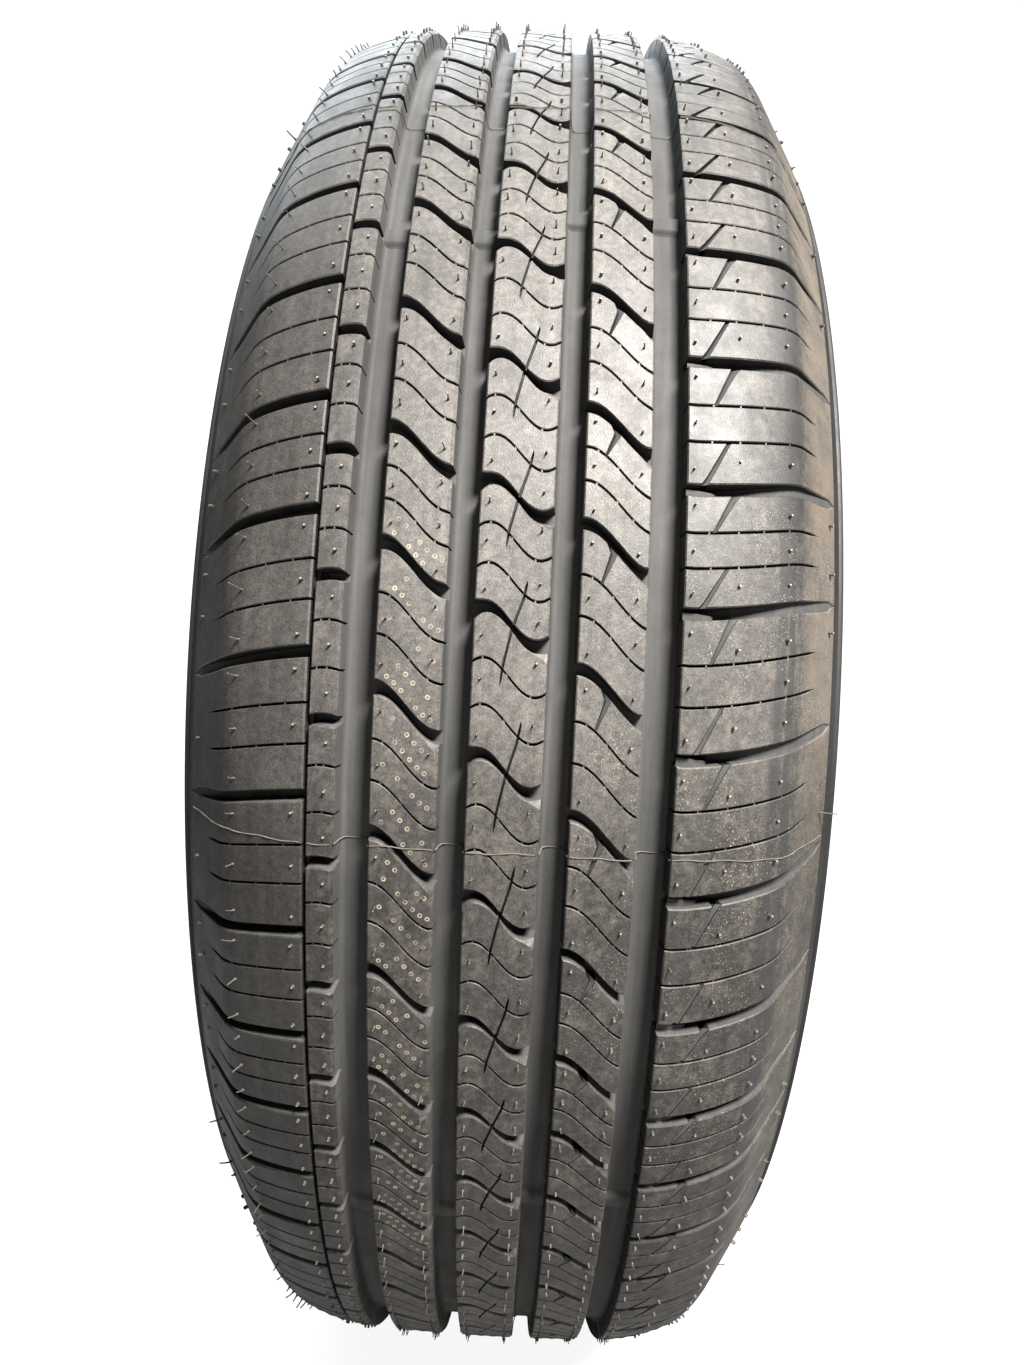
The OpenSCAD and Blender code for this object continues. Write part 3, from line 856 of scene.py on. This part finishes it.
def noise(tree, vector, scale, detail, roughness):
    made = tree.nodes.new("ShaderNodeTexNoise")
    made.inputs["Scale"].default_value = scale
    made.inputs["Detail"].default_value = detail
    made.inputs["Roughness"].default_value = roughness
    tree.links.new(vector, made.inputs["Vector"])
    return made.outputs["Fac"]


def ramp(tree, value, *stops):
    made = tree.nodes.new("ShaderNodeValToRGB")
    points = made.color_ramp.elements
    while len(points) < len(stops):
        points.new(0.5)
    for point, (position, colour) in zip(points, stops):
        point.position = position
        point.color = (*colour, 1) if len(colour) == 3 else (colour[0],) * 3 + (1,)
    tree.links.new(value, made.inputs[0])
    return made.outputs[0]


def mix(tree, share, first, second, kind="MIX"):
    made = tree.nodes.new("ShaderNodeMix")
    made.data_type = "RGBA"
    made.blend_type = kind
    for name, value in (("Factor", share), ("A", first), ("B", second)):
        socket = [s for s in made.inputs if s.name == name and s.enabled][0]
        if isinstance(value, (int, float)):
            socket.default_value = value
        elif isinstance(value, tuple):
            socket.default_value = (*value, 1)
        else:
            tree.links.new(value, socket)
    return [s for s in made.outputs if s.enabled][0]


def span(tree, value, low, high):
    """0 below low, 1 above high and smooth between."""
    made = tree.nodes.new("ShaderNodeMapRange")
    made.interpolation_type = "SMOOTHSTEP"
    for name, limit in (("From Min", low), ("From Max", high)):
        made.inputs[name].default_value = limit
    tree.links.new(value, made.inputs["Value"])
    return made.outputs["Result"]


def stretched(tree, vector, scale):
    made = tree.nodes.new("ShaderNodeMapping")
    made.inputs["Scale"].default_value = scale
    tree.links.new(vector, made.inputs["Vector"])
    return made.outputs["Vector"]


def product(tree, *values):
    result = values[0]
    for value in values[1:]:
        result = math_node(tree, "MULTIPLY", result, value)
    return result


def curve_of(tree, value, low, high, stops):
    """A grey tone through (value, tone) stops, straight between them."""
    share = math_node(tree, "MULTIPLY", math_node(tree, "SUBTRACT", value, low), 1 / (high - low))
    return ramp(tree, share, *[((at_value - low) / (high - low), (tone,)) for at_value, tone in stops])


def varied(tree, value, first, second):
    """From the first colour or tone to the second, over the middle range of a noise."""
    return ramp(tree, value, (0.3, first), (0.7, second))


def times(tree, tone, factor):
    return mix(tree, 1.0, tone, factor, "MULTIPLY")


Spot = namedtuple("Spot", "where wrapped across round_crown turn")


def make_spot(tree):
    """A place on the tyre: its position, the same unrolled to metres across the tyre and round its crown,
    these two lengths on their own, and the turn in radians."""
    where = tree.nodes.new("ShaderNodeTexCoord").outputs["Object"]
    split = tree.nodes.new("ShaderNodeSeparateXYZ")
    tree.links.new(where, split.inputs[0])
    turn = math_node(tree, "ARCTAN2", split.outputs["Z"], split.outputs["X"])
    round_crown = math_node(tree, "MULTIPLY", turn, TREAD_RADIUS * MM)
    wrapped = tree.nodes.new("ShaderNodeCombineXYZ")
    tree.links.new(split.outputs["Y"], wrapped.inputs["X"])
    tree.links.new(round_crown, wrapped.inputs["Y"])
    return Spot(where, wrapped.outputs[0], split.outputs["Y"], round_crown, turn)


# Tones round the tyre, as (degrees, tone). The even tones of walls, floors, sidewalls and hairs are
# painted shade, darkest from 12 to 24 degrees, where the key light falls brightest. The face's tones
# step at the flash lines, where the mould's segments leave the rubber lighter or darker, and also carry
# painted light, rising from the lower flash line to their brightest at 0 degrees, facing the key light,
# and falling off towards the top. The right shoulder's tones come on top of the face's: painted shade
# over its highlight from 0 to 24 degrees and a little painted light below it
EVEN_PAINTED_SHADE = ((-180, 0.66), (-20, 0.64), (-8, 0.6), (0, 0.66), (12, 0.56), (24, 0.54), (36, 0.62),
              (180, 0.66))
FACE_SEGMENTS_AND_PAINTED_LIGHT = ((-180, 0.62), (-40, 0.5), (-16, 0.5), (-8.5, 0.58), (-7.9, 0.62), (0, 1.12), (12, 1.04),
              (35.5, 0.99), (35.9, 0.83), (42, 0.78), (50, 0.7), (180, 0.62))
SHOULDER_PAINTED_SHADE = ((-180, 1), (-24, 1), (-12, 1.3), (-6, 1.12), (0, 0.92), (6, 0.75), (12, 0.52), (18, 0.54),
                  (24, 0.78), (30, 1), (180, 1))

# Painted shade across the tread, as (metres across, tone): the rows are darkened one by one, most on the
# left, away from the key light, and on the right shoulder
ROW_PAINTED_SHADE = ((-0.057, 0.55), (-0.055, 0.6), (-0.046, 0.6), (-0.037, 0.82), (-0.01, 1), (0.018, 1),
             (0.037, 0.92), (0.047, 0.76), (0.09, 0.78))


def tone_round(tree, spot, tones):
    stops = [(math.radians(angle), tone) for angle, tone in tones]
    return curve_of(tree, spot.turn, -math.pi, math.pi, stops)


def weathered_with_painted_shade(tree, tone, spot, streaks, low_down, dust_amount):
    """The tone with painted shade on the rows and over the right shoulder's highlight, dust in patches, brown
    outer edges, a dark band and specks.
    """
    dust, speck = (0.15, 0.13, 0.108), (0.3, 0.265, 0.21)
    brown, black = (0.105, 0.087, 0.068), (0.02, 0.02, 0.02)
    across, round_crown, half_width = spot.across, spot.round_crown, 0.11
    # Painted shade on the rows across the tread
    tone = times(tree, tone, curve_of(tree, across, -half_width, half_width, ROW_PAINTED_SHADE))
    # Painted shade over the key light's highlight on the right shoulder
    on_shoulder = product(tree, span(tree, across, 0.046, 0.047), span(tree, across, 0.09, 0.078))
    shoulder_shade_factor = tone_round(tree, spot, SHOULDER_PAINTED_SHADE)
    tone = times(tree, tone, mix(tree, on_shoulder, (1, 1, 1), shoulder_shade_factor))

    dusty_side = span(tree, across, -0.057, -0.054)
    patches = span(tree, noise(tree, spot.where, scale=120, detail=6, roughness=0.75), 0.46, 0.7)
    tone = mix(tree, product(tree, patches, dusty_side, dust_amount), tone, dust)

    distance = math_node(tree, "ABSOLUTE", across)
    outside = product(tree, span(tree, distance, 0.081, 0.088), span(tree, across, -0.02, 0.02))
    smear_noise = noise(tree, stretched(tree, spot.wrapped, (60, 90, 1)), scale=1, detail=4, roughness=0.6)
    smears = ramp(tree, smear_noise, (0.35, (0.2,)), (0.65, (1,)))
    fading = ramp(tree, low_down, (0, (0.85,)), (1, (0.25,)))
    tone = mix(tree, product(tree, outside, smears, fading), tone, brown)

    band = product(tree, span(tree, across, 0.072, 0.075), span(tree, across, 0.084, 0.081),
                   span(tree, streaks, 0.36, 0.54), 0.8)
    tone = mix(tree, band, tone, black)

    sprinkled = span(tree, noise(tree, spot.where, scale=55, detail=3, roughness=0.6), 0.42, 0.62)
    specked = product(tree, sprinkled, span(tree, across, 0.0, 0.03), span(tree, round_crown, 0.1, 0.04),
                      span(tree, round_crown, -0.22, -0.1))
    specks = span(tree, noise(tree, spot.where, scale=2100, detail=2, roughness=0.5), 0.62, 0.72)
    return mix(tree, product(tree, specks, specked, 0.9), tone, speck)


def plain(name, colour, roughness):
    material = bpy.data.materials.new(name)
    material.use_nodes = True
    shader = material.node_tree.nodes["Principled BSDF"]
    shader.inputs["Base Color"].default_value = (*colour, 1)
    shader.inputs["Roughness"].default_value = roughness
    return material


def rubber(name, dark, light, roughness, dust_amount=0, gloss=0.5, coarseness=0.3, round_tones=EVEN_PAINTED_SHADE):
    """Rubber with a clouded, streaked and grainy tone and tones round the tyre that carry painted light and
    shade; if it has dust, also the marks of the tread and the rows' painted shade.
    """
    material = plain(name, light, roughness)
    tree = material.node_tree
    shader = tree.nodes["Principled BSDF"]
    spot = make_spot(tree)

    clouds = noise(tree, spot.where, scale=24, detail=6, roughness=0.62)
    grain = noise(tree, stretched(tree, spot.wrapped, (2300, 1500, 1)), scale=1, detail=3, roughness=0.6)
    streaks = noise(tree, stretched(tree, spot.wrapped, (300, 14, 1)), scale=1, detail=4, roughness=0.6)
    mottling = noise(tree, spot.where, scale=480, detail=4, roughness=0.65)
    grain_range, mottling_range = 0.5 * coarseness, 0.36 * coarseness
    high = 1 + grain_range
    tone = varied(tree, clouds, dark, light)
    tone = times(tree, tone, varied(tree, grain, (1 - grain_range,), (high, high * 0.97, high * 0.9)))
    tone = times(tree, tone, varied(tree, streaks, (0.8,), (1.2,)))
    tone = times(tree, tone, varied(tree, mottling, (1 - mottling_range,), (1 + mottling_range,)))
    # Tones round the tyre, which carry painted light and shade
    tone = times(tree, tone, tone_round(tree, spot, round_tones))
    low_down = product(tree, span(tree, spot.round_crown, 0.01, -0.05),
                       span(tree, spot.round_crown, -0.9, -0.7))
    # Only the face gets dust, and with it the painted shade on the rows and on the right shoulder
    if dust_amount:
        tone = weathered_with_painted_shade(tree, tone, spot, streaks, low_down, dust_amount)
    tree.links.new(tone, shader.inputs["Base Color"])

    wear = noise(tree, spot.where, scale=75, detail=5, roughness=0.65)
    sheen = varied(tree, wear, (roughness - 0.1,), (roughness + 0.1,))
    tree.links.new(sheen, shader.inputs["Roughness"])
    shine = ramp(tree, low_down, (0, (gloss,)), (1, (gloss * 0.6,)))
    tree.links.new(shine, shader.inputs["Specular IOR Level"])
    bump = tree.nodes.new("ShaderNodeBump")
    bump.inputs["Strength"].default_value = 0.6 * coarseness
    bump.inputs["Distance"].default_value = 0.00015
    tree.links.new(grain, bump.inputs["Height"])
    tree.links.new(bump.outputs[0], shader.inputs["Normal"])
    return material


def worn_paint(name, faint, full):
    material = plain(name, full, 0.6)
    tree = material.node_tree
    where = tree.nodes.new("ShaderNodeTexCoord").outputs["Object"]
    tone = ramp(tree, noise(tree, where, scale=160, detail=5, roughness=0.7), (0.4, faint), (0.62, full))
    tree.links.new(tone, tree.nodes["Principled BSDF"].inputs["Base Color"])
    return material


# Camera, floor and light

def make_camera():
    """The photograph's place, a little to the right of the tyre's middle and close to it."""
    camera = bpy.data.objects.new("camera", bpy.data.cameras.new("camera"))
    camera.location = (0.6007, 0.0062, 0)
    camera.rotation_euler = [math.radians(a) for a in (90.034, -2.653, 91.127)]
    camera.data.lens = 25.97
    camera.data.sensor_width = 36
    camera.data.clip_start = 0.02
    bpy.context.scene.collection.objects.link(camera)
    bpy.context.scene.camera = camera


def make_stage():
    """A pale floor that turns up into a backdrop behind the tyre."""
    depth, behind, bend, height, half = 3.5, -2.2, 0.8, 4.5, 5
    turns = np.linspace(0, math.pi / 2, 16)
    corner = [(behind + bend - bend * math.sin(t), bend - bend * math.cos(t)) for t in turns]
    section = [(depth, 0), *corner, (behind, height)]
    points = [(x, y, cad_low.z + z) for x, z in section for y in (half, -half)]
    faces = [(2 * k, 2 * k + 1, 2 * k + 3, 2 * k + 2) for k in range(len(section) - 1)]
    mesh = bpy.data.meshes.new("floor")
    mesh.from_pydata(points, [], faces)
    mesh.polygons.foreach_set("use_smooth", np.ones(len(faces), bool))
    material = plain("floor", (0.22, 0.22, 0.22), 0.9)
    tree = material.node_tree
    shader = tree.nodes["Principled BSDF"]
    shader.inputs["Emission Color"].default_value = (1, 1, 1, 1)
    path = tree.nodes.new("ShaderNodeLightPath")
    glow = math_node(tree, "MULTIPLY", path.outputs["Is Camera Ray"], 0.92)
    tree.links.new(glow, shader.inputs["Emission Strength"])
    mesh.materials.append(material)
    floor = bpy.data.objects.new("floor", mesh)
    bpy.context.scene.collection.objects.link(floor)


def area_light(name, place_at, target, size, power, colour):
    light = bpy.data.lights.new(name, "AREA")
    light.shape = "RECTANGLE"
    light.size, light.size_y = size
    light.energy = power
    light.color = colour
    lamp = bpy.data.objects.new(name, light)
    lamp.location = place_at
    x, y, z = np.array(target, float) - np.array(place_at, float)
    tilt = math.atan2(math.hypot(x, y), -z)
    lamp.rotation_euler = (tilt, 0, math.atan2(y, x) - math.pi / 2)
    bpy.context.scene.collection.objects.link(lamp)


def make_light():
    scene = bpy.context.scene
    scene.view_settings.view_transform = "Standard"
    world = bpy.data.worlds.new("world")
    world.use_nodes = True
    scene.world = world
    tree = world.node_tree
    background = tree.nodes["Background"]
    background.inputs["Color"].default_value = (1, 1, 1, 1)
    path = tree.nodes.new("ShaderNodeLightPath")
    strength = math_node(tree, "ADD", math_node(tree, "MULTIPLY", path.outputs["Is Camera Ray"], 0.94), 0.06)
    tree.links.new(strength, background.inputs["Strength"])
    area_light("key", place_at=(1.33, 0.58, 1.1), target=(0.33, 0, 0.05), size=(0.5, 0.45), power=156,
               colour=(1, 0.975, 0.94))
    area_light("overhead", place_at=(-1.0, -0.5, 2.2), target=(0, 0, 0.1), size=(2.2, 2.0), power=112,
               colour=(0.83, 0.93, 1))


def build():
    make_camera()
    # The face's tones round the tyre join the mould's segments with painted light
    face = rubber("rubber_face", (0.046, 0.043, 0.0415), (0.086, 0.081, 0.078), 0.56, dust_amount=0.3,
                  coarseness=1, round_tones=FACE_SEGMENTS_AND_PAINTED_LIGHT)
    # The wall rubber is the dark copy, painted shade; wall, floor, sidewall and hair take the even tones,
    # painted shade round the tyre
    wall = rubber("rubber_wall_painted_shade", (0.02, 0.02, 0.021), (0.031, 0.031, 0.031), 0.6, gloss=0.25)
    floor = rubber("rubber_floor", (0.074, 0.074, 0.075), (0.096, 0.096, 0.097), 0.7, gloss=0.15,
                   coarseness=0.15)
    side = rubber("rubber_side", (0.016, 0.016, 0.017), (0.028, 0.028, 0.028), 0.6, gloss=0.35)
    hair = rubber("rubber_hair", (0.07, 0.065, 0.058), (0.11, 0.102, 0.09), 0.55)
    # A pale cap on each hair's tip: painted highlight
    hair_end_painted_highlight = plain("hair_end_painted_highlight", (0.24, 0.22, 0.19), 0.45)
    flash = plain("flash", (0.08, 0.072, 0.06), 0.6)
    paint = worn_paint("dot_paint", (0.08, 0.075, 0.065), (0.3, 0.245, 0.175))
    tread = [face, wall, floor]
    stand_ins = (
        ("left_shoulder_blocks", left_shoulder, tread),
        ("narrow_rib_blocks", narrow_rib, tread),
        ("left_rib_blocks", left_rib, tread),
        ("centre_rib_blocks", centre_rib, tread),
        ("right_rib_blocks", right_rib, tread),
        ("right_shoulder_blocks", right_shoulder, tread),
        ("tie_bars", tie_bars, [floor]),
        ("tread_base", tread_base, [floor]),
        ("carcass", carcass, [side]),
        ("wear_bars", wear_bars, [floor]),
    )
    additions = (
        ("sipe_bridges", sipe_bridges, [face]),
        ("mould_vents", vents, [hair, hair_end_painted_highlight]),
        ("flash_lines", flash_lines, [flash]),
        ("printed_dots", printed_dots, [paint]),
    )
    for name, shape, materials in stand_ins:
        piece = shape().make(name, materials)
        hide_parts("tyre")
    for name, shape, materials in additions:
        shape().make(name, materials, weld=0)
    make_stage()
    make_light()


build()
